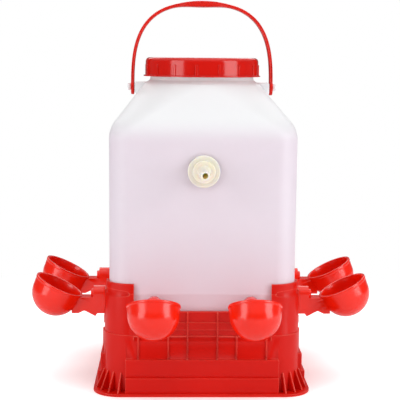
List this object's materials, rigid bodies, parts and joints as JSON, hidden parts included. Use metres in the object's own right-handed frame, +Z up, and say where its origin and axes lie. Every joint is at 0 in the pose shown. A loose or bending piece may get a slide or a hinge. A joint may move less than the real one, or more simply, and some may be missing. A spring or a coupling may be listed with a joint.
{
  "type": "poultry drinker",
  "caption": "Free-standing poultry drinker: a square water jug on a moulded stand, with drinking cups round its foot, a screw lid, a carrying handle and a float valve inlet.",
  "frame": {"origin": "middle of the stand's footprint, on the floor", "axes": "+Z up, -Y towards the front wall that carries the hose nozzle, +X to the right seen from the front"},
  "size_m": [0.3834, 0.3834, 0.4309],
  "materials": {
    "stand_red": "satin moulded polypropylene",
    "cup_red": "glossy moulded polypropylene",
    "lid_red": "glossy moulded polypropylene",
    "handle_red": "moulded polyethylene strap",
    "jug_white": "translucent blow-moulded polyethylene",
    "plug_white": "soft moulded polyethylene",
    "foam_white": "closed-cell foam sheet",
    "valve_ivory": "moulded acetal",
    "inner_white": "moulded polypropylene",
    "rubber_black": "moulded rubber",
    "steel": "drawn stainless wire"
  },
  "bodies": {
    "stand": {"stand": "stand_red"},
    "jug": {"jug": "jug_white", "valve_body": "valve_ivory", "valve_outer_washer": "rubber_black", "valve_inner_washer": "rubber_black", "valve_lock_nut": "valve_ivory", "float_lever_pin": "steel", "cup_right_front": "cup_red", "cup_washer_right_front": "rubber_black", "cup_nut_right_front": "inner_white", "cup_right_back": "cup_red", "cup_washer_right_back": "rubber_black", "cup_nut_right_back": "inner_white", "cup_back_right": "cup_red", "cup_washer_back_right": "rubber_black", "cup_nut_back_right": "inner_white", "cup_back_left": "cup_red", "cup_washer_back_left": "rubber_black", "cup_nut_back_left": "inner_white", "cup_left_back": "cup_red", "cup_washer_left_back": "rubber_black", "cup_nut_left_back": "inner_white", "cup_left_front": "cup_red", "cup_washer_left_front": "rubber_black", "cup_nut_left_front": "inner_white", "cup_front_left": "cup_red", "cup_washer_front_left": "rubber_black", "cup_nut_front_left": "inner_white", "cup_front_right": "cup_red", "cup_washer_front_right": "rubber_black", "cup_nut_front_right": "inner_white"},
    "handle": {"handle": "handle_red"},
    "inner_lid": {"inner_lid": "plug_white"},
    "lid_liner": {"lid_liner": "foam_white"},
    "lid_cap": {"lid_cap": "lid_red"},
    "float_arm": {"float_lever": "inner_white", "float": "inner_white"},
    "piston": {"valve_piston": "inner_white", "piston_pad": "rubber_black"},
    "peck_pin_right_front": {"peck_pin_right_front": "steel"},
    "peck_pin_right_back": {"peck_pin_right_back": "steel"},
    "peck_pin_back_right": {"peck_pin_back_right": "steel"},
    "peck_pin_back_left": {"peck_pin_back_left": "steel"},
    "peck_pin_left_back": {"peck_pin_left_back": "steel"},
    "peck_pin_left_front": {"peck_pin_left_front": "steel"},
    "peck_pin_front_left": {"peck_pin_front_left": "steel"},
    "peck_pin_front_right": {"peck_pin_front_right": "steel"}
  },
  "joints": [
    {"name": "jug_lift", "type": "slide", "parent": "stand", "child": "jug", "axis": [0, 0, 1], "range_m": [0, 0.08]},
    {"name": "handle_swing", "type": "hinge", "parent": "jug", "child": "handle", "pos_m": [0, 0, 0.33299], "axis": [1, 0, 0], "range_deg": [-95, 95]},
    {"name": "inner_lid_lift", "type": "slide", "parent": "jug", "child": "inner_lid", "axis": [0, 0, 1], "range_m": [0, 0.022]},
    {"name": "lid_rise", "type": "slide", "parent": "inner_lid", "child": "lid_liner", "axis": [0, 0, 1], "range_m": [0, 0.009]},
    {"name": "lid_turn", "type": "hinge", "parent": "lid_liner", "child": "lid_cap", "pos_m": [0, 0, 0.34529], "axis": [0, 0, 1], "range_deg": [0, 540]},
    {"name": "float_swing", "type": "hinge", "parent": "jug", "child": "float_arm", "pos_m": [0, -0.066, 0.2397], "axis": [1, 0, 0], "range_deg": [0, 30]},
    {"name": "piston_slide", "type": "slide", "parent": "jug", "child": "piston", "axis": [0, -1, 0], "range_m": [0, 0.003]},
    {"name": "peck_right_front", "type": "hinge", "parent": "jug", "child": "peck_pin_right_front", "pos_m": [0.1163, -0.0528, 0.0893], "axis": [0, -1, 0], "range_deg": [0, 7.5]},
    {"name": "peck_right_back", "type": "hinge", "parent": "jug", "child": "peck_pin_right_back", "pos_m": [0.1163, 0.0528, 0.0893], "axis": [0, -1, 0], "range_deg": [0, 7.5]},
    {"name": "peck_back_right", "type": "hinge", "parent": "jug", "child": "peck_pin_back_right", "pos_m": [0.0528, 0.1163, 0.0893], "axis": [1, 0, 0], "range_deg": [0, 7.5]},
    {"name": "peck_back_left", "type": "hinge", "parent": "jug", "child": "peck_pin_back_left", "pos_m": [-0.0528, 0.1163, 0.0893], "axis": [1, 0, 0], "range_deg": [0, 7.5]},
    {"name": "peck_left_back", "type": "hinge", "parent": "jug", "child": "peck_pin_left_back", "pos_m": [-0.1163, 0.0528, 0.0893], "axis": [0, 1, 0], "range_deg": [0, 7.5]},
    {"name": "peck_left_front", "type": "hinge", "parent": "jug", "child": "peck_pin_left_front", "pos_m": [-0.1163, -0.0528, 0.0893], "axis": [0, 1, 0], "range_deg": [0, 7.5]},
    {"name": "peck_front_left", "type": "hinge", "parent": "jug", "child": "peck_pin_front_left", "pos_m": [-0.0528, -0.1163, 0.0893], "axis": [-1, 0, 0], "range_deg": [0, 7.5]},
    {"name": "peck_front_right", "type": "hinge", "parent": "jug", "child": "peck_pin_front_right", "pos_m": [0.0528, -0.1163, 0.0893], "axis": [-1, 0, 0], "range_deg": [0, 7.5]}
  ],
  "couplings": [
    {"joint": "lid_rise", "follows": "lid_turn", "m_per_rad": 0.00095493},
    {"joint": "piston_slide", "follows": "float_swing", "m_per_rad": 0.0057296}
  ]
}
